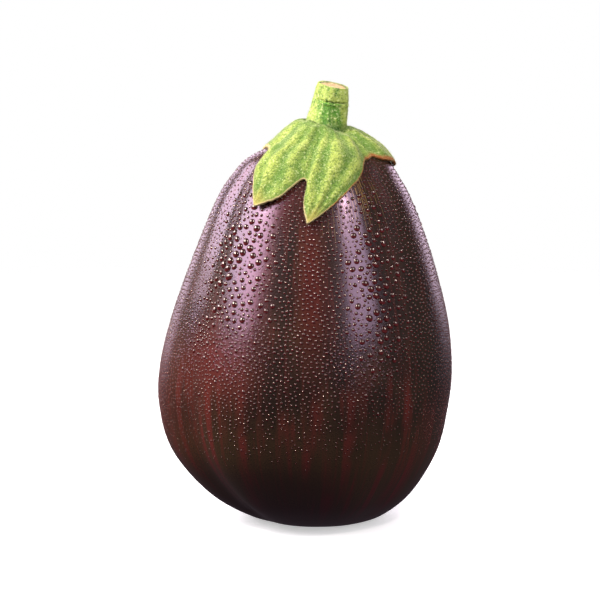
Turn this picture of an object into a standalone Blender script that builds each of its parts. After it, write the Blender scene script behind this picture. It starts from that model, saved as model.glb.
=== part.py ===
"""A globe eggplant standing on its blossom end: the fruit, its calyx and its stem.

Metres, +Z up, seen from -Y. The origin is the middle of the flat spot's plane,
under the middle of the whole eggplant. A turn is an angle about +Z, counted
from the front (-Y) towards the right (+X).
"""

from math import atan2, cos, exp, pi, radians, sin

import bmesh
import bpy
from mathutils import Vector

# Fruit
FRUIT_HEIGHT = 0.153
FRUIT_RADIUS = 0.0592
FRUIT_DEPTH_SHARE = 0.975
FRUIT_SPOKES = 64
FRUIT_RINGS = 36
TOP_CAP = 0.03  # share of the outline's length left to the small cap at the very top

OUTLINE_STEPS = 12
# The fruit's outline from the edge of the flat spot to the top: shares of its
# greatest radius and of its height, and how far its middle lies to the right.
OUTLINE = (
    (0.321, 0.0, 0.0006),
    (0.495, 0.021, -0.0004),
    (0.718, 0.082, -0.0024),
    (0.917, 0.190, -0.0044),
    (0.993, 0.305, -0.0048),
    (1.0, 0.410, -0.0040),
    (0.940, 0.540, -0.0026),
    (0.812, 0.700, -0.0014),
    (0.665, 0.845, -0.0008),
    (0.568, 0.908, -0.0004),
    (0.478, 0.952, 0.0006),
    (0.345, 0.980, 0.0020),
    (0.180, 0.995, 0.0032),
    (0.0, 1.0, 0.0040),
)

# Furrows between the fruit's lobes: turn and half width in degrees,
# and depth at the foot, at the middle and at the shoulder.
FURROWS = (
    (-52, 11, 0.0042, 0.0018, 0.0030),
    (-6, 15, 0.0008, 0.0008, 0.0016),
    (40, 13, 0.0012, 0.0008, 0.0026),
    (88, 14, 0.0020, 0.0008, 0.0016),
    (133, 12, 0.0030, 0.0014, 0.0024),
    (178, 15, 0.0014, 0.0008, 0.0018),
    (-140, 12, 0.0026, 0.0012, 0.0024),
    (-98, 13, 0.0012, 0.0006, 0.0014),
)
FURROWS_FOOT = 0.05  # share of the fruit's height by which they are fully there
FURROWS_TOP = (0.19, 0.37)  # shares of its radius between which they die away at the top

# Calyx
GAP = 0.0003  # between the pieces that touch
# Each sepal: the turn of its tip in degrees, how far the tip is from the stem's middle
# along the skin, how far it is swept round in degrees, how far it stands off the skin,
# and how hollow its left and right edges are (1 straight, below 1 full, above 1 hollow).
SEPALS = (
    (-32, 0.0510, -2, 0.0020, 2.7, 0.55),
    (16, 0.0572, -20, 0.0012, 0.9, 1.15),
    (86, 0.0375, 4, 0.0014, 0.8, 0.8),
    (158, 0.0480, -8, 0.0020, 0.8, 0.9),
    (-136, 0.0420, -8, 0.0012, 0.9, 1.8),
)
# The notch that follows each sepal, going round to the right: turn and distance.
NOTCHES = (
    (-9, 0.0375),
    (49, 0.0290),
    (124, 0.0290),
    (-165, 0.0310),
    (-88, 0.0225),
)
CALYX_THICKNESS = 0.0030
MARGIN_THICKNESS = 0.0009
COLLAR_RADIUS = 0.0110
COLLAR_HEIGHT = 0.0034
COLLAR_TILT = 0.0014  # how much higher the collar is on the left, and lower on the right
COLLAR_SPREAD = 0.0075
COLLAR_LEAN = 0.0010  # how far its rim leans in towards the stem
COLLAR_DIP = (34, 24, 0.0022)  # turn and half width in degrees, and depth of the dip in its rim
CALYX_SPOKES = 120
CALYX_RINGS = 8

# Stem
STEM_HEIGHT = 0.0210
STEM_RADIUS = 0.0075
STEM_FOOT_RADIUS = 0.0106
STEM_CUT_RADIUS = 0.0061
STEM_CUT_SLOPE = 0.21  # down to the right
STEM_CUT_TILT = 0.14  # down to the front
STEM_LEAN = 0.0032  # how far its cut end is to the right of its foot
STEM_SPOKES = 30
STEM_RINGS = 9
STEM_RIDGES = 5
STEM_RIDGE_HEIGHT = 0.0003

# Finishes: colour and roughness
SKIN = ((0.035, 0.010, 0.016), 0.3)
CALYX_GREEN = ((0.32, 0.42, 0.09), 0.75)
STEM_GREEN = ((0.16, 0.30, 0.05), 0.7)
SHARP_EDGE = 50  # degrees

# Steps along and around the skin for measuring its slope
REACH_STEP = 0.0005
TURN_STEP = 0.02


def smooth_through(points, steps):
    """The points joined by a Catmull-Rom curve, with this many steps to each span."""
    first = points[0] + points[0] - points[1]
    last = Vector((-points[-2].x, points[-2].y, points[-1].z))
    ends = [first, *points, last]
    curve = []
    for before, start, end, after in zip(ends, ends[1:], ends[2:], ends[3:]):
        for step in range(steps):
            t = step / steps
            curve.append(
                0.5
                * (
                    2 * start
                    + (end - before) * t
                    + (2 * before - 5 * start + 4 * end - after) * t**2
                    + (3 * start - before - 3 * end + after) * t**3
                )
            )
    return [*curve, points[-1]]


class Outline:
    """The fruit's side view, found by its distance along the skin from the top."""

    def __init__(self):
        corners = [
            Vector((radius * FRUIT_RADIUS, height * FRUIT_HEIGHT, aside))
            for radius, height, aside in OUTLINE
        ]
        self.points = smooth_through(corners, OUTLINE_STEPS)[::-1]
        self.reaches = [0.0]
        for a, b in zip(self.points, self.points[1:]):
            self.reaches.append(self.reaches[-1] + (b - a).length)
        self.length = self.reaches[-1]

    def at(self, reach):
        """(radius, height, how far aside its middle is) at this distance from the top."""
        reach = min(max(reach, 0.0), self.length)
        for i in range(1, len(self.reaches)):
            if reach <= self.reaches[i]:
                span = self.reaches[i] - self.reaches[i - 1]
                share = (reach - self.reaches[i - 1]) / span
                return self.points[i - 1].lerp(self.points[i], share)
        return self.points[-1]


def apart(turn, other):
    """The angle from one turn to another, between -pi and pi."""
    return atan2(sin(turn - other), cos(turn - other))


def furrow_depth(turn, height_share):
    """How far the skin is drawn in at this turn and share of the fruit's height."""
    foot = (1 - height_share) ** 3
    shoulder = height_share**3
    middle = 1 - foot - shoulder
    depth = 0.0
    for where, half_width, at_foot, at_middle, at_shoulder in FURROWS:
        side = apart(turn, radians(where)) / radians(half_width)
        valley = exp(-(side**2))
        depth += valley * (foot * at_foot + middle * at_middle + shoulder * at_shoulder)
    return depth


def skin(outline, turn, reach):
    """The point of the fruit's skin at this turn and distance from the top."""
    radius, height, aside = outline.at(reach)
    share = height / FRUIT_HEIGHT
    at_foot = min(share / FURROWS_FOOT, 1.0)
    inner, outer = FURROWS_TOP
    at_top = min(max((radius / FRUIT_RADIUS - inner) / (outer - inner), 0.0), 1.0)
    radius -= furrow_depth(turn, share) * at_foot * at_top
    x = sin(turn) * radius + aside
    y = -cos(turn) * radius * FRUIT_DEPTH_SHARE
    return Vector((x, y, height))


def skin_normal(outline, turn, reach):
    """The outward direction of the skin."""
    below, above = reach + REACH_STEP, reach - REACH_STEP
    upwards = skin(outline, turn, above) - skin(outline, turn, below)
    right, left = turn + TURN_STEP, turn - TURN_STEP
    rightwards = skin(outline, right, reach) - skin(outline, left, reach)
    return rightwards.cross(upwards).normalized()


def rings_to_mesh(name, rings, closed=False):
    """A mesh with quads between rings of points, capped at both ends or closed on itself."""
    mesh = bpy.data.meshes.new(name)
    bm = bmesh.new()
    rows = [[bm.verts.new(point) for point in ring] for ring in rings]
    pairs = list(zip(rows, rows[1:]))
    if closed:
        pairs.append((rows[-1], rows[0]))
    else:
        bm.faces.new(rows[0][::-1])
        bm.faces.new(rows[-1])
    for lower, upper in pairs:
        for i in range(len(lower)):
            j = (i + 1) % len(lower)
            bm.faces.new((lower[i], lower[j], upper[j], upper[i]))
    bmesh.ops.recalc_face_normals(bm, faces=bm.faces)
    bm.to_mesh(mesh)
    bm.free()
    return mesh


def turns(count):
    return [2 * pi * i / count for i in range(count)]


def make_fruit(outline):
    """The fruit, from its flat spot to a small cap at the very top."""
    rings = []
    for i in range(FRUIT_RINGS + 1):
        reach = outline.length * (1 - (1 - TOP_CAP) * i / FRUIT_RINGS)
        rings.append([skin(outline, turn, reach) for turn in turns(FRUIT_SPOKES)])
    return rings_to_mesh("fruit", rings)


def sepal_margin(turn):
    """(reach of the calyx's margin, share of the way from notch to tip, sweep, lift) here."""
    for i, (tip, reach, sweep, lift, left, right) in enumerate(SEPALS):
        for (notch, notch_reach), hollow in ((NOTCHES[i - 1], left), (NOTCHES[i], right)):
            side = apart(turn, radians(tip)) / apart(radians(notch), radians(tip))
            if 0 <= side <= 1:
                tipwards = (1 - side) ** hollow
                return notch_reach + (reach - notch_reach) * tipwards, tipwards, sweep, lift
    raise ValueError("no sepal covers this turn")


def calyx_point(outline, turn, share, raised):
    """A point of the calyx, from its collar (share 0) to its margin (share 1).

    raised is 0 on the underside and 1 on the upper side.
    """
    margin, tipwards, sweep, tip_lift = sepal_margin(turn)
    reach = COLLAR_RADIUS + (margin - COLLAR_RADIUS) * share
    swept = turn + radians(sweep) * tipwards * share**2
    normal = skin_normal(outline, swept, reach)
    thickness = CALYX_THICKNESS + (MARGIN_THICKNESS - CALYX_THICKNESS) * share**2
    lift = tip_lift * tipwards * share**3
    point = skin(outline, swept, reach) + normal * (GAP + lift + thickness * raised)
    fall = exp(-(((reach - COLLAR_RADIUS) / COLLAR_SPREAD) ** 2))
    dip_turn, dip_width, dip_depth = COLLAR_DIP
    dip = dip_depth * exp(-((apart(turn, radians(dip_turn)) / radians(dip_width)) ** 2))
    inwards = Vector((-sin(turn), cos(turn), 0.0)) * COLLAR_LEAN
    upwards = Vector((0.0, 0.0, COLLAR_HEIGHT - COLLAR_TILT * sin(turn) - dip))
    return point + (inwards + upwards) * fall * raised


def make_calyx(outline):
    """The five joined sepals round the stem: the underside out to the margin, then back."""
    shares = [i / CALYX_RINGS for i in range(CALYX_RINGS + 1)]
    walk = [(share, 0) for share in shares] + [(share, 1) for share in reversed(shares)]
    rings = []
    for share, raised in walk:
        rings.append(
            [calyx_point(outline, turn, share, raised) for turn in turns(CALYX_SPOKES)]
        )
    return rings_to_mesh("calyx", rings, closed=True)


def stem_radius(turn, share):
    """The stem's radius: wider at its foot, narrower at the cut, with low ridges down its sides."""
    swell = (STEM_FOOT_RADIUS - STEM_RADIUS) * (1 - share) ** 3
    taper = (STEM_RADIUS - STEM_CUT_RADIUS) * share**4
    return STEM_RADIUS + swell - taper + STEM_RIDGE_HEIGHT * (cos(STEM_RIDGES * turn) - 1)


def make_stem(outline):
    """The stem, from just above the fruit to its sloping cut end."""
    foot = FRUIT_HEIGHT + GAP
    aside = outline.at(COLLAR_RADIUS).z
    rings = []
    for i in range(STEM_RINGS + 1):
        share = i / STEM_RINGS
        ring = []
        for turn in turns(STEM_SPOKES):
            radius = stem_radius(turn, share)
            x = sin(turn) * radius
            y = -cos(turn) * radius * FRUIT_DEPTH_SHARE
            cut = (STEM_CUT_TILT * y - STEM_CUT_SLOPE * x) * share
            height = foot + STEM_HEIGHT * share + cut
            ring.append(Vector((x + aside + STEM_LEAN * share, y, height)))
        rings.append(ring)
    return rings_to_mesh("stem", rings)


def make_material(name, finish):
    colour, roughness = finish
    material = bpy.data.materials.new(name)
    material.use_nodes = True
    shader = material.node_tree.nodes["Principled BSDF"]
    shader.inputs["Base Color"].default_value = (*colour, 1.0)
    shader.inputs["Roughness"].default_value = roughness
    shader.inputs["Metallic"].default_value = 0.0
    return material


def add_object(name, mesh, material):
    mesh.materials.append(material)
    mesh.shade_smooth()
    mesh.set_sharp_from_angle(angle=radians(SHARP_EDGE))
    thing = bpy.data.objects.new(name, mesh)
    bpy.context.scene.collection.objects.link(thing)
    return thing


def centre_over_origin(things):
    """Slides everything sideways so that the whole eggplant's box is centred on the origin."""
    points = [vertex.co.copy() for thing in things for vertex in thing.data.vertices]
    across = [point.x for point in points]
    deep = [point.y for point in points]
    middle = Vector((min(across) + max(across), min(deep) + max(deep), 0.0)) / 2
    for thing in things:
        for vertex in thing.data.vertices:
            vertex.co -= middle


def main():
    for thing in list(bpy.data.objects):
        bpy.data.objects.remove(thing)
    outline = Outline()
    things = [
        add_object("fruit", make_fruit(outline), make_material("skin", SKIN)),
        add_object("calyx", make_calyx(outline), make_material("calyx_green", CALYX_GREEN)),
        add_object("stem", make_stem(outline), make_material("stem_green", STEM_GREEN)),
    ]
    centre_over_origin(things)


main()
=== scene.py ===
import math

import bmesh
import bpy
import numpy as np
from mathutils import Matrix, Vector, noise


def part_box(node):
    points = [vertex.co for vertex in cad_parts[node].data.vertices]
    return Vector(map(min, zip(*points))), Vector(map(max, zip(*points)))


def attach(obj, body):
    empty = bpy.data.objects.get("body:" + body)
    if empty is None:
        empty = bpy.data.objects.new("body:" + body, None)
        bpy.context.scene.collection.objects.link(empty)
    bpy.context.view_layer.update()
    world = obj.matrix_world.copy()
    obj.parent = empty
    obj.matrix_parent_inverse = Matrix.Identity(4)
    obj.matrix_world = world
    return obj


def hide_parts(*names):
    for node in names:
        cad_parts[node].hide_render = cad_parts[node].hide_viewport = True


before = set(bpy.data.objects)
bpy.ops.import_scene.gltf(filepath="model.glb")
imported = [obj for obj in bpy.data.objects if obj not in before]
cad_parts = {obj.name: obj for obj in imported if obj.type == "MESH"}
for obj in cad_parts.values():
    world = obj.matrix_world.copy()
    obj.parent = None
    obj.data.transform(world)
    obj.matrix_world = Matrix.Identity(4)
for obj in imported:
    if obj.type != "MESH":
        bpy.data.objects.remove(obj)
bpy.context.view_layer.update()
scene = bpy.context.scene
scene.view_settings.view_transform = "Standard"


class Wire:
    # one socket of a tree: Python's operators on it add that tree's Math nodes
    def __init__(self, maker, socket):
        self.maker = maker
        self.socket = socket

    def other(self, name):
        return Wire(self.maker, self.socket.node.outputs[name])

    def __add__(self, value):
        return self.maker.math("ADD", self, value)

    def __sub__(self, value):
        return self.maker.math("SUBTRACT", self, value)

    def __rsub__(self, value):
        return self.maker.math("SUBTRACT", value, self)

    def __mul__(self, value):
        return self.maker.math("MULTIPLY", self, value)

    def __truediv__(self, value):
        return self.maker.math("DIVIDE", self, value)

    def __pow__(self, value):
        return self.maker.math("POWER", self, value)

    __radd__ = __add__


class Maker:
    # adds nodes to one tree, which it empties first
    def __init__(self, tree):
        self.tree = tree
        tree.nodes.clear()

    def add(self, kind, settings=None, values=None, out=0):
        node = self.tree.nodes.new(kind)
        for name, value in (settings or {}).items():
            setattr(node, name, value)
        for name, value in (values or {}).items():
            if isinstance(value, Wire):
                self.tree.links.new(value.socket, node.inputs[name])
            else:
                node.inputs[name].default_value = value
        return Wire(self, node.outputs[out]) if node.outputs else node

    def math(self, operation, *values):
        return self.add("ShaderNodeMath", {"operation": operation}, dict(enumerate(values)))

    def ease(self, value, low, high, to=(0.0, 1.0)):
        # a soft step, from to[0] at low to to[1] at high
        return self.add(
            "ShaderNodeMapRange",
            {"interpolation_type": "SMOOTHSTEP"},
            {"Value": value, "From Min": low, "From Max": high, "To Min": to[0], "To Max": to[1]},
        )

    def bell(self, value, middle, width):
        # 1 where value is at the middle, falling away on both sides
        return self.math("EXPONENT", ((value - middle) / width) ** 2 * -1.0)

    def mix(self, share, colour, other):
        colours = [(*c, 1.0) if isinstance(c, tuple) else c for c in (colour, other)]
        return self.add(
            "ShaderNodeMix",
            {"data_type": "RGBA"},
            {0: share, 6: colours[0], 7: colours[1]},
            out=2,
        )

    def noise(self, where, scale, detail=2.0, roughness=0.5):
        return self.add(
            "ShaderNodeTexNoise",
            None,
            {"Vector": where, "Scale": scale, "Detail": detail, "Roughness": roughness},
        )

    def vector(self, x, y, z):
        return self.add("ShaderNodeCombineXYZ", None, {"X": x, "Y": y, "Z": z})


def newTree(name, inputs):
    # a geometry tree with named inputs: its maker, and the wires of its inputs
    tree = bpy.data.node_groups.new(name, "GeometryNodeTree")
    for label, kind in inputs.items():
        tree.interface.new_socket(name=label, in_out="INPUT", socket_type="NodeSocket" + kind)
    tree.interface.new_socket(name="Mesh", in_out="OUTPUT", socket_type="NodeSocketGeometry")
    make = Maker(tree)
    source = make.add("NodeGroupInput")
    return make, {label: source.other(label) for label in inputs}


def endTree(make, geometry, material):
    real = make.add("GeometryNodeRealizeInstances", None, {"Geometry": geometry})
    done = make.add("GeometryNodeSetMaterial", None, {"Geometry": real, "Material": material})
    make.add("NodeGroupOutput", None, {"Mesh": done})
    return make.tree


def grow(name, tree, values, start=None):
    # runs the tree on a mesh and keeps what it makes as a plain mesh
    host = bpy.data.objects.new(name + "Host", start or bpy.data.meshes.new(name + "Host"))
    scene.collection.objects.link(host)
    modifier = host.modifiers.new("grow", "NODES")
    modifier.node_group = tree
    for item in tree.interface.items_tree:
        if item.in_out == "INPUT" and item.name in values:
            modifier[item.identifier] = values[item.name]
    graph = bpy.context.evaluated_depsgraph_get()
    mesh = bpy.data.meshes.new_from_object(host.evaluated_get(graph), depsgraph=graph)
    host.modifiers.remove(modifier)
    bpy.data.objects.remove(host)
    piece = bpy.data.objects.new(name, mesh)
    scene.collection.objects.link(piece)
    return piece


def newMaterial(name, fixed):
    material = bpy.data.materials.new(name)
    material.use_nodes = True
    make = Maker(material.node_tree)
    shader = make.add("ShaderNodeBsdfPrincipled", None, fixed)
    make.add("ShaderNodeOutputMaterial", None, {"Surface": shader})
    return material, make, shader.socket.node


def feed(make, shader, wires):
    for name, wire in wires.items():
        make.tree.links.new(wire.socket, shader.inputs[name])


def apart(turn, other):
    # degrees from one turn to the other, between -180 and 180
    return (turn - other + 180) % 360 - 180


def meshFrom(name, rows, closed=False, values=None):
    # quads between rows of points, each row a closed ring; an open stack is capped at both ends
    bm = bmesh.new()
    made = [[bm.verts.new(point) for point in row] for row in rows]
    count = len(made[0])
    pairs = list(zip(made, made[1:]))
    if closed:
        pairs.append((made[-1], made[0]))
    else:
        bm.faces.new(made[0])
        bm.faces.new(made[-1][::-1])
    for lower, upper in pairs:
        for i in range(count):
            j = (i + 1) % count
            bm.faces.new((lower[i], lower[j], upper[j], upper[i]))
    bmesh.ops.recalc_face_normals(bm, faces=bm.faces)
    for face in bm.faces:
        face.smooth = True
    mesh = bpy.data.meshes.new(name)
    bm.to_mesh(mesh)
    bm.free()
    for label, numbers in (values or {}).items():
        storeValues(mesh, label, numbers)
    thing = bpy.data.objects.new(name, mesh)
    scene.collection.objects.link(thing)
    return thing


skinShape = {
    "spokes": 300,
    "rings": 220,
    "height": 0.153,
    "radius": 0.0592,
    "depthShare": 0.975,
    "outline": (  # shares of the radius and of the height, how far its middle lies aside
        (0.0, 0.010, 0.0006),
        (0.05, 0.007, 0.0006),
        (0.14, 0.001, 0.0006),
        (0.25, 0.0, 0.0006),
        (0.321, 0.0, 0.0006),
        (0.495, 0.021, -0.0004),
        (0.718, 0.082, -0.0024),
        (0.917, 0.190, -0.0044),
        (0.993, 0.305, -0.0048),
        (1.0, 0.410, -0.0040),
        (0.940, 0.540, -0.0026),
        (0.812, 0.700, -0.0014),
        (0.665, 0.845, -0.0008),
        (0.568, 0.908, -0.0004),
        (0.478, 0.952, 0.0006),
        (0.345, 0.980, 0.0020),
        (0.180, 0.995, 0.0032),
        (0.0, 1.0, 0.0040),
    ),
    "furrows": (  # turn, slant and half width in degrees, depth at foot, middle and shoulder
        (-52, -13, 10, 0.0042, 0.0018, 0.0032),
        (-6, 0, 15, 0.0008, 0.0008, 0.0016),
        (40, 3, 13, 0.0012, 0.0008, 0.0026),
        (88, 4, 14, 0.0020, 0.0008, 0.0016),
        (133, 5, 12, 0.0030, 0.0014, 0.0024),
        (178, 0, 15, 0.0014, 0.0008, 0.0018),
        (-140, 4, 12, 0.0026, 0.0012, 0.0024),
        (-98, -3, 13, 0.0012, 0.0006, 0.0014),
    ),
    "slantPivot": 0.45,  # the level at which a slanted furrow is at its own turn
    "furrowsFoot": 0.05,
    "furrowsTop": (0.19, 0.37),
    "dentDepth": 0.0001,
    "dentScale": 40.0,
    "dentFrom": 0.45,
    "dentSteepness": 4.0,
    "outlineSteps": 12,
    "mergeWithin": 1e-6,
}


def skinTree(shape):
    make, given = newTree("turnedSkin", {
        "Outline": "Object", "Spokes": "Int", "Rings": "Int", "Radius": "Float", "Height": "Float",
        "Depth Share": "Float", "Dent Depth": "Float", "Dent Scale": "Float", "Finish": "Material",
    })
    line = make.add("GeometryNodeObjectInfo", None, {"Object": given["Outline"]}).other("Geometry")
    line = make.add("GeometryNodeCurveSplineType", {"spline_type": "CATMULL_ROM"}, {"Curve": line})
    line = make.add("GeometryNodeSetSplineResolution", None, {
        "Geometry": line, "Resolution": shape["outlineSteps"]})
    mesh = make.add("GeometryNodeMeshGrid", None, {
        "Size X": 1.0, "Size Y": 1.0,
        "Vertices X": given["Rings"] + 1, "Vertices Y": given["Spokes"] + 1,
    })
    place = make.add("ShaderNodeSeparateXYZ", None, {"Vector": make.add("GeometryNodeInputPosition")})
    turn = place.other("Y") * (2 * math.pi)
    share = place.other("X") + 0.5
    sample = make.add("GeometryNodeSampleCurve", {"mode": "FACTOR"}, {"Curves": line, "Factor": share})
    point = make.add("ShaderNodeSeparateXYZ", None, {"Vector": sample.other("Position")})
    radius, aside = point.other("X"), point.other("Y")
    height = make.math("MAXIMUM", point.other("Z"), 0.0)
    level = height / given["Height"]
    foot = (1 - level) ** 3
    shoulder = level ** 3
    depth = 0
    for where, slant, halfWidth, atFoot, atMiddle, atShoulder in shape["furrows"]:
        middleTurn = (level - shape["slantPivot"]) * math.radians(slant) + math.radians(where)
        side = make.math("WRAP", turn - middleTurn, math.pi, -math.pi)
        valley = make.bell(side, 0.0, math.radians(halfWidth))
        middle = 1 - foot - shoulder
        depth = depth + valley * (foot * atFoot + middle * atMiddle + shoulder * atShoulder)
    low, high = shape["furrowsTop"]
    fade = make.math("MINIMUM", level / shape["furrowsFoot"], 1.0)
    inner = (radius / given["Radius"] - low) / (high - low)
    fade = fade * make.math("MINIMUM", make.math("MAXIMUM", inner, 0.0), 1.0)
    radius = radius - depth * fade
    x = make.math("SINE", turn) * radius + aside
    y = make.math("COSINE", turn) * radius * given["Depth Share"] * -1.0
    length = make.add("GeometryNodeCurveLength", None, {"Curve": line})
    for name, value in (("turn", turn), ("reach", (1 - share) * length)):
        mesh = make.add("GeometryNodeStoreNamedAttribute", {"data_type": "FLOAT"},
                        {"Geometry": mesh, "Name": name, "Value": value})
    mesh = make.add("GeometryNodeSetPosition", None,
                    {"Geometry": mesh, "Position": make.vector(x, y, height)})
    mesh = make.add("GeometryNodeMergeByDistance", None, {"Geometry": mesh, "Distance": shape["mergeWithin"]})
    mesh = make.add("GeometryNodeFlipFaces", None, {"Mesh": mesh})
    dent = make.noise(make.add("GeometryNodeInputPosition"), given["Dent Scale"])
    dent = make.math("MAXIMUM", dent - shape["dentFrom"], 0.0) * given["Dent Depth"] * -shape["dentSteepness"]
    inwards = make.add("ShaderNodeVectorMath", {"operation": "SCALE"},
                       {"Vector": make.add("GeometryNodeInputNormal"), "Scale": dent})
    mesh = make.add("GeometryNodeSetPosition", None, {"Geometry": mesh, "Offset": inwards})
    mesh = make.add("GeometryNodeSetShadeSmooth", None, {"Geometry": mesh})
    return endTree(make, mesh, given["Finish"])


def outlineCurve(shape):
    curve = bpy.data.curves.new("skinOutline", "CURVE")
    curve.dimensions = "3D"
    line = curve.splines.new("POLY")
    line.points.add(len(shape["outline"]) - 1)
    for point, (radius, height, aside) in zip(line.points, shape["outline"]):
        point.co = (radius * shape["radius"], aside, height * shape["height"], 1.0)
    guide = bpy.data.objects.new("skinOutline", curve)
    scene.collection.objects.link(guide)
    return guide


def makeSkin(material):
    shape = skinShape
    guide = outlineCurve(shape)
    piece = grow("skin", skinTree(shape), {
        "Outline": guide, "Spokes": shape["spokes"], "Rings": shape["rings"],
        "Radius": shape["radius"], "Height": shape["height"], "Depth Share": shape["depthShare"],
        "Dent Depth": shape["dentDepth"], "Dent Scale": shape["dentScale"], "Finish": material,
    })
    bpy.data.objects.remove(guide)
    points = readPoints(piece.data)
    low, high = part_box("fruit")
    shift = (np.array(low + high) - points.min(0) - points.max(0)) / 2
    shift[2] = 0.0
    piece.data.transform(Matrix.Translation(Vector(shift)))

    # the grid's two ends meet behind, where merging left their points a turn halfway between theirs
    turn = readValues(piece.data, "turn")
    turn[(np.abs(turn) < 0.5 * math.pi / shape["spokes"]) & (points[:, 1] > 0)] = math.pi
    piece.data.attributes["turn"].data.foreach_set("value", turn.astype(np.float32))
    return piece


class SkinGrid:
    # finds the skin's point and outward direction at a turn, in degrees, and a reach from the top
    def __init__(self, mesh):
        turn, reach = readValues(mesh, "turn"), readValues(mesh, "reach")
        spokes, rings = skinShape["spokes"], skinShape["rings"]
        self.step = reach.max() / rings
        column = np.round((turn / (2 * math.pi) + 0.5) * spokes).astype(int) % spokes
        row = np.round(reach / self.step).astype(int)
        normals = np.array([vertex.normal for vertex in mesh.vertices])
        self.layers = np.zeros((rings + 1, spokes, 6))
        self.layers[row, column] = np.hstack([readPoints(mesh), normals])
        for pole in (0, rings):
            here = row == pole
            self.layers[pole, :] = np.hstack([readPoints(mesh)[here][0], normals[here][0]])

    def at(self, turn, reach):
        rings, spokes = self.layers.shape[:2]
        across = (turn / 360 + 0.5) * spokes
        down = min(max(reach / self.step, 0.0), rings - 1.001)
        i, j = int(down), math.floor(across)
        a, b = down - i, across - j
        j, k = j % spokes, (j + 1) % spokes
        here = (self.layers[i, j] * (1 - a) + self.layers[i + 1, j] * a) * (1 - b)
        here = here + (self.layers[i, k] * (1 - a) + self.layers[i + 1, k] * a) * b
        return Vector(here[:3]), Vector(here[3:]).normalized()


def readPoints(mesh):
    points = np.zeros(len(mesh.vertices) * 3, np.float32)
    mesh.vertices.foreach_get("co", points)
    return points.reshape(-1, 3).astype(float)


def readValues(mesh, name):
    values = np.zeros(len(mesh.vertices), np.float32)
    mesh.attributes[name].data.foreach_get("value", values)
    return values.astype(float)


def storeValues(mesh, name, values):
    attribute = mesh.attributes.new(name, "FLOAT", "POINT")
    attribute.data.foreach_set("value", np.asarray(values, np.float32))


calyxShape = {
    "spokes": 480,
    "rows": 34,
    "wallRows": 6,
    "gap": 0.0003,
    # turn, reach of the tip, sweep, lift of the tip, hollow left and right, lift of the left edge
    "sepals": (
        (-32, 0.0510, -2, 0.0016, 2.7, 0.55, 0.0),
        (16, 0.0572, -20, 0.0010, 0.9, 1.15, 0.0),
        (86, 0.0350, 4, 0.0001, 0.8, 0.8, 0.0006),
        (158, 0.0480, -8, 0.0020, 0.8, 0.9, 0.0),
        (-136, 0.0420, -8, 0.0012, 0.9, 3.4, 0.0),
    ),
    "notches": ((-9, 0.0390), (49, 0.0290), (124, 0.0290), (-165, 0.0310), (-88, 0.0225)),
    "notchArch": 0.28,
    "thickness": 0.0030,
    "margin": 0.0011,
    "collar": 0.0034,
    "collarTilt": 0.0014,
    "collarSpread": 0.0075,
    "collarDip": (34, 24, 0.0024),  # turn, half width and depth of the dip in its rim
    "collarLean": 0.0016,  # how far its rim leans in against the stem
    "collarLevel": 0.12,  # how far up the stem its hole is measured
    "leanReach": 0.002,
    "rimBumps": (0.16, 3.5, 7.0),  # share of its height, scale, offset
    "ribs": 0.0009,
    "ribsPerSide": 1.7,
    "ribBend": (0.25, 90),  # share of a rib, scale
    "ribsFadeOver": 0.004,
    "lumps": 0.0011,
    "lumpWaves": ((170, 0.6), (420, 0.4)),  # scale, strength
    "ragged": 0.0011,  # how far the margin wanders
    "raggedWaves": ((9.0, 2.7, 1.0), (26.0, 189.8, 0.5)),  # scale, offset, strength
    "marginBand": 0.0011,
}

stemShape = {
    "middle": 0.0106,  # from the left side of the stem's box
    "spokes": 150,
    "rows": 90,
    "radius": 0.0074,
    "foot": 0.0110,
    "cutRadius": 0.0061,
    "height": 0.0210,
    "cutSlope": 0.21,  # down to the right
    "cutTilt": 0.14,  # down to the front
    "lean": 0.0032,
    "ridges": 0.00035,
    "lumps": 0.00030,
    "flareSides": (0.62, 0.38),  # all round, and how much more of it on the left
    "flarePower": 2.4,
    "crack": {
        "level": 0.715, "width": 0.00030, "depth": 0.0008, "turn": 14, "halfWidth": 58,
        "wobble": 0.0003, "wobbleTurn": 14, "lip": 0.5, "lipBelow": 0.0009, "lipWidth": 0.0006,
    },
    "rimRows": 10,
    "dish": 0.0005,
    "dishLumps": (0.0003, 500),  # depth, scale
}


def sepalMargin(turn):
    # reach of the margin, how far it is from notch to tip, where across the sepal, and the sepal's facts
    sepals, notches = calyxShape["sepals"], calyxShape["notches"]
    for i, sepal in enumerate(sepals):
        for (notch, notchReach), hollow, sign in ((notches[i - 1], sepal[4], -1), (notches[i], sepal[5], 1)):
            side = apart(turn, sepal[0]) / apart(notch, sepal[0])
            if 0 <= side <= 1:
                arch = 1 - math.exp(-((1 - side) / calyxShape["notchArch"]) ** 2)  # rounds the notch
                tipwards = (1 - side) ** hollow * arch
                reach = notchReach + (sepal[1] - notchReach) * tipwards
                return reach, tipwards, side, sign, notchReach, hollow, sepal
    raise ValueError("no sepal covers this turn")


def stemRadius(turn, share):
    # wider towards its foot, most of all on the left, narrower at the cut, with low ridges down its sides
    shape = stemShape
    turn = math.radians(turn)
    allRound, left = shape["flareSides"]
    flare = (allRound - left * math.sin(turn)) * (1 - share) ** shape["flarePower"]
    ridge = math.cos(5 * turn + 0.6) + 0.5 * math.cos(13 * turn)
    swell = (shape["foot"] - shape["radius"]) * flare - (shape["radius"] - shape["cutRadius"]) * share ** 4
    return shape["radius"] + swell + shape["ridges"] * (ridge - 1.5) / 2


def stemMiddle():
    low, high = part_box("stem")
    return Vector((low.x + stemShape["middle"], (low.y + high.y) / 2, low.z))


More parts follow.
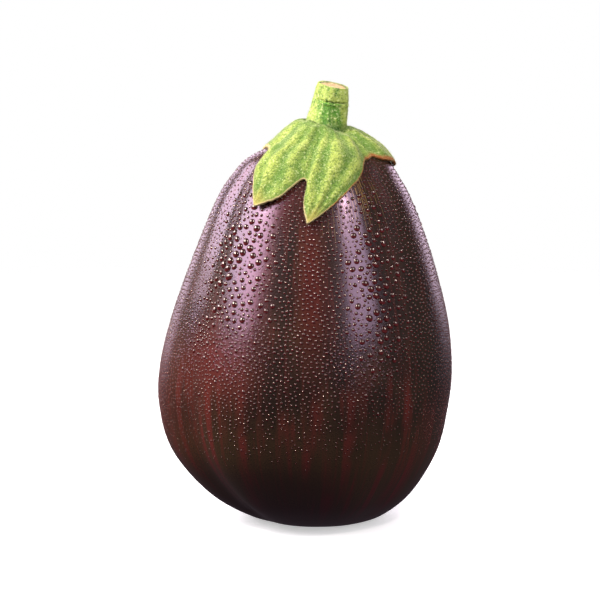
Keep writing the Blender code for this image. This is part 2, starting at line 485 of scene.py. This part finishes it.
def calyxPoint(grid, turn, share, raised):
    # a point between the underside (raised 0) and the top (raised 1), from collar to margin
    shape = calyxShape
    margin, tipwards, side, sign, notchReach, hollow, sepal = sepalMargin(turn)
    _, tipReach, sweep, lift, _, _, edgeLift = sepal
    inner = stemRadius(turn, shape["collarLevel"]) + shape["gap"]
    angle = math.radians(turn)
    ahead = Vector((math.sin(angle), math.cos(angle), 0.0))
    wander = sum(strength * noise.noise(ahead * scale + Vector((0.0, 0.0, offset)))
                 for scale, offset, strength in shape["raggedWaves"])
    margin += wander * shape["ragged"] * (1 - 0.6 * tipwards)
    reach = inner + (margin - inner) * share
    swept = turn + sweep * tipwards * share ** 2
    point, normal = grid.at(swept, reach)

    # where across the sepal this is: 0 along its middle, 1 at its edges, narrowing to the tip
    beyond = (reach - notchReach) / (tipReach - notchReach)
    halfWidth = 1 - max(beyond, 0.0) ** (1 / hollow) if beyond < 1 else 0.02
    across = min(side / max(halfWidth, 0.02), 1.0)
    outer = margin - reach  # metres left to the margin
    bendShare, bendScale = shape["ribBend"]
    bend = bendShare * noise.noise(point * bendScale)
    ribs = 0.5 + 0.5 * math.cos(2 * math.pi * (across * shape["ribsPerSide"] + bend))
    ribFade = min(share * 3, 1) * (1 - math.exp(-outer / shape["ribsFadeOver"]))
    body = shape["thickness"] + (shape["margin"] - shape["thickness"]) * share ** 2
    puff = 0.9 + 0.25 * (1 - across ** 2) * (1 - share)
    lump = sum(noise.noise(point * scale) * strength for scale, strength in shape["lumpWaves"])
    thickness = body * puff + (ribs - 0.5) * shape["ribs"] * ribFade
    thickness += lump * shape["lumps"] * (0.3 + 0.7 * (1 - share))
    lifted = shape["gap"] + lift * tipwards * share ** 3
    if sign < 0:
        lifted += edgeLift * share ** 2 * math.sin(math.pi * min(side * 1.15, 1.0)) ** 2
    point = point + normal * (lifted + thickness * raised)
    fall = math.exp(-((reach - inner) / shape["collarSpread"]) ** 2)
    rimShare, rimScale, rimOffset = shape["rimBumps"]
    rimBumps = 1 + rimShare * noise.noise(ahead * rimScale + Vector((0.0, 0.0, rimOffset)))
    dipTurn, dipWidth, dipDepth = shape["collarDip"]
    dip = dipDepth * math.exp(-(apart(turn, dipTurn) / dipWidth) ** 2)
    height = (shape["collar"] - shape["collarTilt"] * math.sin(angle) - dip) * rimBumps
    lean = shape["collarLean"] * math.exp(-((reach - inner) / shape["leanReach"]) ** 2) * raised
    inwards = Vector((-math.sin(angle), math.cos(angle), 0.0)) * lean
    point = point + inwards + Vector((0.0, 0.0, height * fall * raised))
    inside = 1 - math.exp(-outer / shape["marginBand"]) if share < 1 else 0.0
    return point, inside, ribs * ribFade, tipwards * share


def makeCalyx(grid, material):
    shape = calyxShape
    shares = [1 - (1 - i / shape["rows"]) ** 1.25 for i in range(shape["rows"] + 1)]
    walk = [(share, 0.0) for share in reversed(shares)]
    walk += [(0.0, i / shape["wallRows"]) for i in range(1, shape["wallRows"])]
    walk += [(share, 1.0) for share in shares]
    rows, values = [], {"inside": [], "rib": [], "tip": [], "under": []}
    for share, raised in walk:
        row = []
        for i in range(shape["spokes"]):
            turn = 360 * i / shape["spokes"] - 180
            point, inside, rib, tip = calyxPoint(grid, turn, share, raised)
            row.append(point)
            values["inside"].append(inside)
            values["rib"].append(rib)
            values["tip"].append(tip)
            values["under"].append(1.0 - raised)
        rows.append(row)
    piece = meshFrom("calyxLeaves", rows, closed=True, values=values)
    piece.data.materials.append(material)
    return piece


def stemPoint(turn, share, inwards=1.0):
    # a point of the stalk above its foot's middle; inwards 0 is its axis
    shape = stemShape
    radius = stemRadius(turn, share) * inwards
    x, y = math.sin(math.radians(turn)) * radius, -math.cos(math.radians(turn)) * radius
    cut = (shape["cutTilt"] * y - shape["cutSlope"] * x) * share
    return Vector((x + shape["lean"] * share, y, shape["height"] * share + cut))


def makeStem(material):
    shape = stemShape
    crack = shape["crack"]
    foot = stemMiddle()
    turns = [360 * j / shape["spokes"] - 180 for j in range(shape["spokes"])]
    rows, cut, level = [], [], []
    for i in range(shape["rows"] + 1):
        share = i / shape["rows"]
        row = []
        for turn in turns:
            point = stemPoint(turn, share)
            outwards = Vector((math.sin(math.radians(turn)), -math.cos(math.radians(turn)), 0))
            lump = noise.noise(Vector((point.x * 300, point.y * 300, point.z * 110)))
            lump += 0.6 * noise.noise(point * 900)
            point += outwards * lump * shape["lumps"]
            gap = (share - crack["level"]) * shape["height"]
            gap += crack["wobble"] * noise.noise(Vector((turn / crack["wobbleTurn"], 0, 0)))
            along = math.exp(-(apart(turn, crack["turn"]) / crack["halfWidth"]) ** 4)
            groove = math.exp(-(gap / crack["width"]) ** 2) * along
            lip = crack["lip"] * math.exp(-((gap + crack["lipBelow"]) / crack["lipWidth"]) ** 2) * along
            point -= outwards * crack["depth"] * (groove - lip)
            row.append(foot + point)
            level.append(share)
            cut.append(groove * 0.5)
        rows.append(row)
    lumpDepth, lumpScale = shape["dishLumps"]
    for i in range(1, shape["rimRows"] + 1):
        inwards = 1 - (i / (shape["rimRows"] + 0.3)) ** 0.9
        row = []
        for turn in turns:
            point = stemPoint(turn, 1.0, inwards)
            dish = shape["dish"] * (1 - inwards ** 6) - lumpDepth * noise.noise(point * lumpScale)
            row.append(foot + point - Vector((0, 0, dish)))
            level.append(1.0)
            cut.append(1.0 if i > 1 else 0.66)
        rows.append(row)
    piece = meshFrom("stemStalk", rows, values={"cut": cut, "level": level})
    piece.data.materials.append(material)
    return piece


downShape = {
    "spacing": 0.00042,
    "length": 0.00066,
    "width": 0.000033,
    "lengths": (0.5, 1.3),  # shortest and longest share of that length
    "lean": 0.8,
    "densest": 2e7,
    "seed": 21,
    "green": (0.36, 0.44, 0.14),
    "pale": (0.76, 0.77, 0.46),
}


def hairShape():
    # one three-sided hair of length 1, whose root goes a little under the surface
    bm = bmesh.new()
    width = downShape["width"] / downShape["length"]
    root = [bm.verts.new((math.cos(a) * width, math.sin(a) * width, -0.1))
            for a in (0, 2 * math.pi / 3, 4 * math.pi / 3)]
    tip = bm.verts.new((0, 0, 1))
    for i in range(3):
        bm.faces.new((root[i], root[(i + 1) % 3], tip))
    bm.faces.new(root[::-1])
    mesh = bpy.data.meshes.new("hair")
    bm.to_mesh(mesh)
    bm.free()
    thing = bpy.data.objects.new("hair", mesh)
    scene.collection.objects.link(thing)
    return thing


def downTree():
    make, given = newTree("down", {
        "Surface": "Geometry", "Hair": "Object", "Spacing": "Float", "Length": "Float",
        "Lean": "Float", "Seed": "Int", "Finish": "Material",
    })
    points = make.add("GeometryNodeDistributePointsOnFaces", {"distribute_method": "POISSON"}, {
        "Mesh": given["Surface"], "Distance Min": given["Spacing"],
        "Density Max": downShape["densest"], "Seed": given["Seed"],
    })
    hair = make.add("GeometryNodeObjectInfo", None, {"Object": given["Hair"]}).other("Geometry")
    chance = {"data_type": "FLOAT"}
    shortest, longest = downShape["lengths"]
    length = make.add("FunctionNodeRandomValue", chance,
                      {2: shortest, 3: longest, "Seed": given["Seed"] + 1}, out=1)
    hairs = make.add("GeometryNodeInstanceOnPoints", None, {
        "Points": points, "Instance": hair, "Rotation": points.other("Rotation"),
        "Scale": make.vector(given["Length"], given["Length"], given["Length"] * length),
    })
    leanX = make.add("FunctionNodeRandomValue", chance, {2: -1.0, 3: 1.0, "Seed": given["Seed"] + 2}, out=1)
    leanY = make.add("FunctionNodeRandomValue", chance, {2: -1.0, 3: 1.0, "Seed": given["Seed"] + 3}, out=1)
    lean = make.vector(leanX * given["Lean"], leanY * given["Lean"], 0.0)
    hairs = make.add("GeometryNodeRotateInstances", None, {"Instances": hairs, "Rotation": lean})
    return endTree(make, hairs, given["Finish"])


def makeDown(name, surface, tree, hair, material):
    piece = grow(name, tree, {
        "Hair": hair, "Spacing": downShape["spacing"], "Length": downShape["length"],
        "Lean": downShape["lean"], "Seed": downShape["seed"], "Finish": material,
    }, surface.data)
    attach(piece, "root")
    print(name, len(piece.data.polygons))


leafLook = {
    "green": (0.110, 0.225, 0.018),
    "yellow": (0.360, 0.440, 0.072),
    "pale": (0.740, 0.750, 0.410),
    "shade": (0.050, 0.110, 0.006),
    "tip": (0.520, 0.370, 0.080),
    "margin": (0.580, 0.460, 0.210),
    "brown": (0.330, 0.100, 0.016),
    "under": (0.380, 0.120, 0.018),
    "brownFrom": (0.003, 0.013),  # metres to the right, between which the margin turns brown
    "drySideFrom": (0.020, 0.027),  # and the brown edge widens
}


def leafFinish():
    look = leafLook
    material, make, shader = newMaterial("downyLeaf", {"Roughness": 0.8})
    where = make.add("ShaderNodeTexCoord").other("Object")
    attribute = {name: make.add("ShaderNodeAttribute", {"attribute_name": name}).other("Fac")
                 for name in ("inside", "rib", "tip", "under")}
    broad = make.noise(where, 110.0, 3.0)
    fine = make.noise(where, 620.0, 3.0, 0.7)
    grain = make.noise(where, 1350.0, 2.0, 0.75)
    share = make.ease(attribute["rib"] * 0.30 + broad * 0.75 + fine * 0.45, 0.52, 0.92)
    colour = make.mix(share, look["green"], look["yellow"])
    colour = make.mix(make.ease(fine, 0.44, 0.30) * 0.7, colour, look["shade"])
    colour = make.mix(make.ease(grain, 0.49, 0.38) * 0.85, colour, look["shade"])
    colour = make.mix(make.ease(grain, 0.57, 0.70) * 0.65, colour, look["pale"])
    colour = make.mix(make.ease(attribute["tip"], 0.75, 1.0) * 0.6, colour, look["tip"])
    edge = make.ease(attribute["inside"] + fine * 0.55, 0.85, 0.40)
    colour = make.mix(edge, colour, look["margin"])
    side = make.add("ShaderNodeSeparateXYZ", None, {"Vector": where})
    right = make.ease(side.other("X"), *look["brownFrom"])
    farRight = make.ease(side.other("X"), *look["drySideFrom"])
    thin = make.ease(attribute["inside"], 0.75, 0.25) * make.ease(fine, 0.34, 0.48) * right
    wide = make.ease(attribute["inside"] + fine * 0.3, 1.10, 0.65) * farRight
    brown = make.math("MAXIMUM", thin, wide)
    colour = make.mix(brown, colour, look["brown"])
    colour = make.mix(make.ease(attribute["under"], 0.2, 0.8) * right, colour, look["under"])
    bump = make.add("ShaderNodeBump", None, {
        "Strength": 0.9, "Distance": 0.0007, "Height": fine * 0.6 + grain * 0.4})
    feed(make, shader, {"Base Color": colour, "Normal": bump})
    return material


stalkLook = {
    "green": (0.085, 0.260, 0.012),
    "yellow": (0.400, 0.500, 0.085),
    "pale": (0.740, 0.800, 0.400),
    "shade": (0.020, 0.075, 0.004),
    "cut": (0.420, 0.200, 0.070),
    "cutPale": (0.700, 0.460, 0.240),
    "crack": (0.030, 0.030, 0.004),
}


def stalkFinish():
    look = stalkLook
    material, make, shader = newMaterial("greenStalk", {"Roughness": 0.65})
    where = make.add("ShaderNodeTexCoord").other("Object")
    level = make.add("ShaderNodeAttribute", {"attribute_name": "level"}).other("Fac")
    cut = make.add("ShaderNodeAttribute", {"attribute_name": "cut"}).other("Fac")
    side = make.add("ShaderNodeSeparateXYZ", None, {"Vector": where}).other("X")
    along = make.add("ShaderNodeMapping", None, {"Vector": where, "Scale": (1.0, 1.0, 0.5)})
    streaks = make.noise(along, 420.0, 3.0, 0.6)
    fine = make.noise(where, 1000.0, 2.0, 0.75)
    edges = make.ease(side, 0.0070, 0.0025) + make.ease(side, 0.0125, 0.0160)
    above = make.ease(level, stemShape["crack"]["level"] - 0.01, stemShape["crack"]["level"] + 0.02)
    share = make.ease(streaks * 0.9 + fine * 0.5 + above * 0.20 + edges * 0.28, 0.60, 1.0)
    colour = make.mix(share, look["green"], look["yellow"])
    colour = make.mix(make.ease(fine, 0.45, 0.33) * 0.8, colour, look["shade"])
    colour = make.mix(make.ease(fine, 0.57, 0.68) * 0.8, colour, look["pale"])
    # painted shadow: darker towards the foot, where the calyx's collar shades the stalk
    colour = make.mix(make.ease(level, 0.42, 0.16) * 0.75, colour, look["shade"])
    tan = make.mix(make.ease(fine, 0.35, 0.65), look["cut"], look["cutPale"])
    colour = make.mix(make.ease(cut, 0.80, 0.95), colour, tan)
    # darker along the crack, and a dark ring round the rim of the cut face, which is painted shadow
    colour = make.mix(make.bell(cut, 0.62, 0.22), colour, look["crack"])
    height = streaks * 0.5 + fine
    bump = make.add("ShaderNodeBump", None, {"Strength": 0.8, "Distance": 0.0007, "Height": height})
    feed(make, shader, {"Base Color": colour, "Normal": bump})
    return material


skinLook = {
    "ground": (0.038, 0.022, 0.010),
    "shade": (0.014, 0.011, 0.005),
    "foot": (0.056, 0.034, 0.012),
    "red": (0.095, 0.013, 0.008),
    "streak": (0.115, 0.021, 0.014),
    "tan": (0.300, 0.180, 0.060),
    "redZones": (  # turn, level, half width in degrees, half height, strength
        (-40, 0.47, 18, 0.10, 0.8),
        (2.5, 0.66, 7, 0.19, 0.7),
        (-13, 0.87, 9, 0.07, 0.8),
        (-23, 0.68, 7, 0.16, 0.7),
        (-75, 0.30, 22, 0.20, 0.5),
        (150, 0.50, 30, 0.20, 0.6),
        (-150, 0.65, 20, 0.16, 0.6),
    ),
    # painted shade: darker bands laid into the base colour between and beyond the softboxes' reflections
    "paintedShadeZones": (
        (-8.5, 0.74, 4, 0.14, 0.9),
        (60, 0.50, 18, 0.30, 0.6),
        (105, 0.60, 20, 0.20, 0.5),
        (-115, 0.55, 16, 0.20, 0.5),
    ),
    "streaksBelow": (0.50, 0.34),
    "tanLines": ((30, 0.90, 18, 0.10, 1.4), (12, 0.74, 5, 0.07, 0.35)),
    "roughness": 0.25,
    "tint": (1.0, 0.66, 0.94, 1.0),
    "mistScale": 950.0,  # the finest drops, too small to be pieces
    "mistDepth": 0.30,
}


def zone(make, turn, level, where, middle, halfWidth, halfHeight):
    # 1 in the middle of a soft-edged patch of the skin
    side = make.math("WRAP", turn - math.radians(where), math.pi, -math.pi)
    return make.bell(side, 0.0, math.radians(halfWidth)) * make.bell(level, middle, halfHeight)


def skinFinish():
    look = skinLook
    material, make, shader = newMaterial("wetSkin", {
        "Roughness": look["roughness"], "Specular IOR Level": 0.9, "Specular Tint": look["tint"]})
    where = make.add("ShaderNodeTexCoord").other("Object")
    place = make.add("ShaderNodeSeparateXYZ", None, {"Vector": where})
    level = place.other("Z") / skinShape["height"]
    turn = make.math("ARCTAN2", place.other("X"), place.other("Y") * -1.0)
    around = make.add("ShaderNodeVectorMath", {"operation": "NORMALIZE"},
                      {"Vector": make.vector(place.other("X"), place.other("Y"), 0.0)})
    around = make.add("ShaderNodeSeparateXYZ", None, {"Vector": around})

    def streaks(across, along, detail=2.0):
        # long patches that run from the stem down to the blossom end
        stretched = make.vector(around.other("X") * across, around.other("Y") * across, level * along)
        return make.noise(stretched, 1.0, detail)

    broad = make.noise(where, 38.0, 3.0)
    wide = streaks(7.0, 2.2)
    colour = make.mix(make.ease(broad * 0.6 + wide * 0.4, 0.62, 0.40), look["ground"], look["shade"])
    colour = make.mix(make.ease(level, 0.38, 0.12), colour, look["foot"])
    red = 0
    for *spot, strength in look["redZones"]:
        red = red + zone(make, turn, level, *spot) * strength
    colour = make.mix(make.math("MINIMUM", red * (broad + 0.45), 1.0), colour, look["red"])
    # painted shade: these bands darken the skin's base colour
    shade = 0
    for *spot, strength in look["paintedShadeZones"]:
        shade = shade + zone(make, turn, level, *spot) * strength
    colour = make.mix(make.math("MINIMUM", shade, 1.0), colour, look["shade"])
    low = make.ease(level, *look["streaksBelow"])
    foot = make.ease(level, 0.0, 0.09)
    marks = make.ease(streaks(13.0, 3.5, 3.0), 0.42, 0.68) * low * foot * make.ease(broad, 0.35, 0.6)
    colour = make.mix(marks, colour, look["streak"])
    faint = make.ease(streaks(30.0, 5.0), 0.48, 0.78) * 0.40
    colour = make.mix(faint, colour, look["streak"])
    tan = 0
    for *spot, strength in look["tanLines"]:
        tan = tan + zone(make, turn, level, *spot) * strength
    lines = make.ease(streaks(85.0, 6.0, 1.0) + tan * 0.10, 0.62, 0.72)
    colour = make.mix(make.math("MINIMUM", lines * tan, 1.0), colour, look["tan"])
    grain = make.noise(where, 2200.0, 1.0)
    cells = make.add("ShaderNodeTexVoronoi", None, {"Vector": where, "Scale": look["mistScale"]})
    limbs = make.ease(make.math("ABSOLUTE", turn), math.radians(40), math.radians(70)) * 0.7
    misty = (make.ease(level, 0.64, 0.46) * 0.8 + limbs) * make.ease(level, 0.12, 0.28)
    mist = make.ease(cells.other("Distance"), 0.45, 0.10) * misty
    bump = make.add("ShaderNodeBump", None, {
        "Strength": look["mistDepth"], "Distance": 0.0003, "Height": mist + grain * 0.25})
    feed(make, shader, {"Base Color": colour, "Normal": bump})
    return material


waterLook = {"dark": (0.030, 0.006, 0.006), "paintedGlow": (0.200, 0.022, 0.026), "tint": (1.0, 0.86, 0.76, 1.0)}


def waterFinish():
    # a drop on dark skin: dark above, with a painted red glow below, standing in for the light that went
    # through it
    material, make, shader = newMaterial("water", {
        "Roughness": 0.07, "IOR": 2.0, "Specular Tint": waterLook["tint"]})
    upwards = make.add("ShaderNodeTexCoord").other("Normal")
    upwards = make.add("ShaderNodeSeparateXYZ", None, {"Vector": upwards}).other("Z")
    # painted light: each bead is coloured redder where its surface faces down
    colour = make.mix(make.ease(upwards, 0.35, -0.55), waterLook["dark"], waterLook["paintedGlow"])
    feed(make, shader, {"Base Color": colour})
    return material


def downFinish():
    material, make, shader = newMaterial("down", {"Roughness": 0.6})
    where = make.add("ShaderNodeTexCoord").other("Object")
    colour = make.mix(make.noise(where, 300.0), downShape["green"], downShape["pale"])
    feed(make, shader, {"Base Color": colour})
    return material


wetness = {
    "patches": (  # turn in degrees, level, half width in degrees, half height: where beads run together
        (-37, 0.71, 20, 0.22),
        (30, 0.68, 16, 0.24),
        (118, 0.70, 18, 0.20),
        (176, 0.60, 18, 0.22),
        (-118, 0.66, 16, 0.22),
    ),
    "dryBelow": (0.18, 0.36),  # levels between which the lowest beads fade away
    "mistyBeyond": (46, 64),  # turns from the front between which the beads become fine mist
    "largest": 0.00118,
    "medium": 0.00066,
    "fine": 0.00054,
    "finest": 0.00022,
    "patchEdge": 1.6,  # a larger power ends each patch more sharply
    "patchWiden": 1.6,
    "fineGrowsOver": 0.35,  # levels over which the fine beads reach their size
    "fineShrinks": 0.35,
    "fineSector": 60,  # half widths in degrees
    "mistSector": 32,
    "densest": 4e6,
}

beadShapes = {  # rings and spokes of each bead's dome, which meets the skin at this angle
    "largeBead": (4, 14),
    "fineBead": (3, 8),
    "mistBead": (2, 6),
    "contact": 76,
    "skirt": 0.25,
    "skirtRadius": 0.92,
}

beadRuns = {  # spacing, share of places filled, spread of sizes, stretch, clearance, seed
    "beadsLarge": (0.0030, 0.85, 0.28, 0.30, 0.0003, 3),
    "beadsMedium": (0.0019, 0.80, 0.25, 0.15, 0.0002, 5),
    "beadsFine": (0.00154, 1.0, 0.22, 0.08, 0.0001, 8),
    "beadsMist": (0.00105, 0.85, 0.30, 0.0, 0.0001, 13),
}


def wetTheSkin(mesh):
    # what the beads read from the skin: where each kind of bead forms, and its radius there
    turn = np.degrees(readValues(mesh, "turn"))
    level = readPoints(mesh)[:, 2] / skinShape["height"]
    patches = np.zeros(len(turn))
    for where, middle, halfWidth, halfHeight in wetness["patches"]:
        squares = (apart(turn, where) / halfWidth) ** 2 + ((level - middle) / halfHeight) ** 2
        patches = np.maximum(patches, np.exp(-squares ** wetness["patchEdge"]))
    low, high = wetness["dryBelow"]
    wet = np.clip((level - low) / (high - low), 0, 1)
    near, far = wetness["mistyBeyond"]
    misty = np.clip((np.abs(turn) - near) / (far - near), 0, 1) * (1 - patches)
    storeValues(mesh, "patch", patches)
    storeValues(mesh, "patchWide", np.clip(patches * wetness["patchWiden"], 0, 1))
    storeValues(mesh, "largeRadius", wetness["medium"] + (wetness["largest"] - wetness["medium"]) * patches)
    storeValues(mesh, "mediumRadius", wetness["fine"] + (wetness["medium"] - wetness["fine"]) * patches)
    grown = np.clip((level - low) / wetness["fineGrowsOver"], 0, 1)
    fine = wetness["finest"] + (wetness["fine"] - wetness["finest"]) * grown
    shrinks = wetness["fineShrinks"]
    storeValues(mesh, "fineRadius", fine * (1 - shrinks * patches) * (1 - shrinks * misty))
    storeValues(mesh, "mistRadius", np.full(len(turn), wetness["finest"] * 0.9))
    for sector, name in ((-120, "Left"), (0, "Front"), (120, "Right")):
        here = wet * (np.abs(apart(turn, sector)) <= wetness["fineSector"])
        storeValues(mesh, "wet" + name, here)
    for sector, name in ((-75, "Left"), (75, "Right")):
        here = wet * misty * (np.abs(apart(turn, sector)) <= wetness["mistSector"])
        storeValues(mesh, "mist" + name, here)


def beadShape(name, rings, spokes):
    # a closed drop of radius 1 standing on the plane, with a skirt that goes under it
    contact = math.radians(beadShapes["contact"])
    bm = bmesh.new()
    top = bm.verts.new((0, 0, (1 - math.cos(contact)) / math.sin(contact)))
    profile = []
    for i in range(1, rings + 1):
        angle = contact * i / rings
        profile.append((math.sin(angle) / math.sin(contact),
                        (math.cos(angle) - math.cos(contact)) / math.sin(contact)))
    profile.append((beadShapes["skirtRadius"], -beadShapes["skirt"]))
    rows = []
    for radius, height in profile:
        turns = [2 * math.pi * j / spokes for j in range(spokes)]
        rows.append([bm.verts.new((math.cos(t) * radius, math.sin(t) * radius, height)) for t in turns])
    for j in range(spokes):
        k = (j + 1) % spokes
        bm.faces.new((top, rows[0][j], rows[0][k]))
        for upper, lower in zip(rows, rows[1:]):
            bm.faces.new((upper[j], lower[j], lower[k], upper[k]))
    bm.faces.new(rows[-1][::-1])
    for face in bm.faces:
        face.smooth = len(face.verts) < 5
    mesh = bpy.data.meshes.new(name)
    bm.to_mesh(mesh)
    bm.free()
    thing = bpy.data.objects.new(name, mesh)
    scene.collection.objects.link(thing)
    return thing


def beadTree():
    make, given = newTree("beads", {
        "Skin": "Geometry", "Bead": "Object", "Taken": "Collection", "Zone": "String",
        "Radius": "String", "Spacing": "Float", "Filled": "Float", "Spread": "Float",
        "Stretch": "Float", "Clearance": "Float", "Seed": "Int", "Finish": "Material",
    })
    zone = make.add("GeometryNodeInputNamedAttribute", {"data_type": "FLOAT"}, {"Name": given["Zone"]})
    points = make.add("GeometryNodeDistributePointsOnFaces", {"distribute_method": "POISSON"}, {
        "Mesh": given["Skin"], "Distance Min": given["Spacing"], "Density Max": wetness["densest"],
        "Density Factor": zone * given["Filled"], "Seed": given["Seed"],
    })
    rotation = points.other("Rotation")
    radius = make.add("GeometryNodeInputNamedAttribute", {"data_type": "FLOAT"}, {"Name": given["Radius"]})
    chance = make.add("FunctionNodeRandomValue", {"data_type": "FLOAT"},
                      {2: 1 - given["Spread"], 3: 1 + given["Spread"], "Seed": given["Seed"] + 1}, out=1)
    radius = radius * chance
    taken = make.add("GeometryNodeCollectionInfo", None, {"Collection": given["Taken"]})
    taken = make.add("GeometryNodeRealizeInstances", None, {"Geometry": taken})
    gap = make.add("GeometryNodeProximity", {"target_element": "FACES"}, {"Target": taken}).other("Distance")
    crowded = make.math("LESS_THAN", gap, radius + given["Clearance"])
    points = make.add("GeometryNodeDeleteGeometry", {"domain": "POINT"},
                      {"Geometry": points, "Selection": crowded})
    bead = make.add("GeometryNodeObjectInfo", None, {"Object": given["Bead"]}).other("Geometry")
    stretch = make.add("FunctionNodeRandomValue", {"data_type": "FLOAT"},
                       {2: 1.0, 3: 1 + given["Stretch"], "Seed": given["Seed"] + 2}, out=1)
    beads = make.add("GeometryNodeInstanceOnPoints", None, {
        "Points": points, "Instance": bead, "Rotation": rotation,
        "Scale": make.vector(radius * stretch, radius, radius),
    })
    spin = make.add("FunctionNodeRandomValue", {"data_type": "FLOAT"},
                    {2: 0.0, 3: math.pi, "Seed": given["Seed"] + 3}, out=1)
    beads = make.add("GeometryNodeRotateInstances", None,
                     {"Instances": beads, "Rotation": make.vector(0.0, 0.0, spin)})
    return endTree(make, beads, given["Finish"])


def makeBeads(skin, material, taken):
    shapes = {name: beadShape(name, *beadShapes[name]) for name in ("largeBead", "fineBead", "mistBead")}
    tree = beadTree()
    runs = (
        ("beadsLarge", "beadsLarge", "largeBead", "patch", "largeRadius"),
        ("beadsMedium", "beadsMedium", "largeBead", "patchWide", "mediumRadius"),
        ("beadsFineFront", "beadsFine", "fineBead", "wetFront", "fineRadius"),
        ("beadsFineLeft", "beadsFine", "fineBead", "wetLeft", "fineRadius"),
        ("beadsFineRight", "beadsFine", "fineBead", "wetRight", "fineRadius"),
        ("beadsMistLeft", "beadsMist", "mistBead", "mistLeft", "mistRadius"),
        ("beadsMistRight", "beadsMist", "mistBead", "mistRight", "mistRadius"),
    )
    for name, run, shape, zone, radius in runs:
        spacing, filled, spread, stretch, clearance, seed = beadRuns[run]
        piece = grow(name, tree, {
            "Bead": shapes[shape], "Taken": taken, "Zone": zone, "Radius": radius, "Spacing": spacing,
            "Filled": filled, "Spread": spread, "Stretch": stretch, "Clearance": clearance,
            "Seed": seed, "Finish": material,
        }, skin.data)
        taken.objects.link(piece)
        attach(piece, "root")
        print(name, len(piece.data.vertices), len(piece.data.polygons))
    for thing in shapes.values():
        bpy.data.objects.remove(thing)


studio = {
    "room": 0.06,  # how bright the dark room round the softboxes is
    "backdrop": 3.0,  # and the lit backdrop behind, which rims both sides
    "backdropColour": (1.0, 0.80, 0.98),
    "backdropFrom": (0.58, 0.82),  # how far back a direction points where the backdrop begins
    "floorRadius": 0.9,
    "floorFades": (0.3, 0.85),
    "floorGlow": 0.5,
}


def setStage():
    world = bpy.data.worlds.new("studio")
    scene.world = world
    world.use_nodes = True
    make = Maker(world.node_tree)
    seen = make.add("ShaderNodeLightPath").other("Is Camera Ray")
    towards = make.add("ShaderNodeTexCoord").other("Generated")
    parts = make.add("ShaderNodeSeparateXYZ", None, {"Vector": towards})
    behind = make.ease(parts.other("Y"), *studio["backdropFrom"]) * make.ease(parts.other("Z"), -0.12, 0.10)
    lit = behind * studio["backdrop"] + studio["room"]
    strength = seen + (1 - seen) * lit
    colour = make.mix(seen, studio["backdropColour"], (1.0, 1.0, 1.0))
    shade = make.add("ShaderNodeBackground", None, {"Color": colour, "Strength": strength})
    make.add("ShaderNodeOutputWorld", None, {"Surface": shade})

    bpy.ops.mesh.primitive_circle_add(vertices=128, radius=studio["floorRadius"], fill_type="NGON")
    floor = bpy.context.object
    floor.name = "floor"
    material, make, shader = newMaterial("paleFloor", {
        "Roughness": 0.9, "Base Color": (0.9, 0.9, 0.9, 1.0), "Emission Color": (1.0, 1.0, 1.0, 1.0),
        "Emission Strength": studio["floorGlow"]})
    where = make.add("ShaderNodeTexCoord").other("Object")
    away = make.add("ShaderNodeVectorMath", {"operation": "LENGTH"}, {"Vector": where}).other("Value")
    feed(make, shader, {"Alpha": make.ease(away, *studio["floorFades"], (1.0, 0.0))})
    floor.data.materials.append(material)
    floor.visible_glossy = False
    floor.visible_diffuse = False
    floor.visible_transmission = False


view = {"aim": (-0.0020, 0.0, 0.0885), "elevation": 8.0, "lens": 135.0, "sensor": 36.0, "distance": 0.9}

softboxes = {  # azimuth, elevation, distance, width, height, watts, colour
    "leftSoftbox": (-80, 40, 0.6, 0.68, 0.44, 8.6, (1.0, 0.96, 0.98)),
    "rightSoftbox": (46, 36, 0.7, 0.40, 0.58, 3.4, (0.97, 0.96, 1.0)),
    "leftGlint": (-66, 44, 0.7, 0.05, 0.05, 2.2, (1.0, 0.87, 0.78)),
    "rightGlint": (37, 44, 0.7, 0.05, 0.05, 1.1, (1.0, 0.90, 0.84)),
}


def addSoftbox(name, azimuth, elevation, distance, width, height, power, colour):
    light = bpy.data.lights.new(name, "AREA")
    light.shape = "RECTANGLE"
    light.size = width
    light.size_y = height
    light.energy = power
    light.color = colour
    a, e = math.radians(azimuth), math.radians(elevation)
    towards = Vector((math.sin(a) * math.cos(e), -math.cos(a) * math.cos(e), math.sin(e)))
    thing = bpy.data.objects.new(name, light)
    thing.location = Vector(view["aim"]) + towards * distance
    thing.rotation_euler = towards.to_track_quat("Z", "Y").to_euler()
    thing.visible_camera = False
    scene.collection.objects.link(thing)


def setCamera():
    elevation = math.radians(view["elevation"])
    lens = bpy.data.cameras.new("camera")
    lens.lens = view["lens"]
    lens.sensor_width = view["sensor"]
    thing = bpy.data.objects.new("camera", lens)
    towards = Vector((0.0, -math.cos(elevation), math.sin(elevation)))
    thing.location = Vector(view["aim"]) + towards * view["distance"]
    thing.rotation_euler = towards.to_track_quat("Z", "Y").to_euler()
    scene.collection.objects.link(thing)
    scene.camera = thing


setCamera()
setStage()
for name, facts in softboxes.items():
    addSoftbox(name, *facts)
print("camera, floor and lights")

skin = makeSkin(skinFinish())
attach(skin, "root")
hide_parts("fruit")
print("skin", len(skin.data.vertices))

grid = SkinGrid(skin.data)
calyx = makeCalyx(grid, leafFinish())
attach(calyx, "root")
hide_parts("calyx")
stem = makeStem(stalkFinish())
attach(stem, "root")
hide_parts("stem")
print("calyx and stem", len(calyx.data.polygons), len(stem.data.polygons))

down = downFinish()
hair = hairShape()
tree = downTree()
makeDown("calyxDown", calyx, tree, hair, down)
makeDown("stemDown", stem, tree, hair, down)
bpy.data.objects.remove(hair)

wetTheSkin(skin.data)
taken = bpy.data.collections.new("taken")
taken.objects.link(calyx)
makeBeads(skin, waterFinish(), taken)
bpy.data.collections.remove(taken)
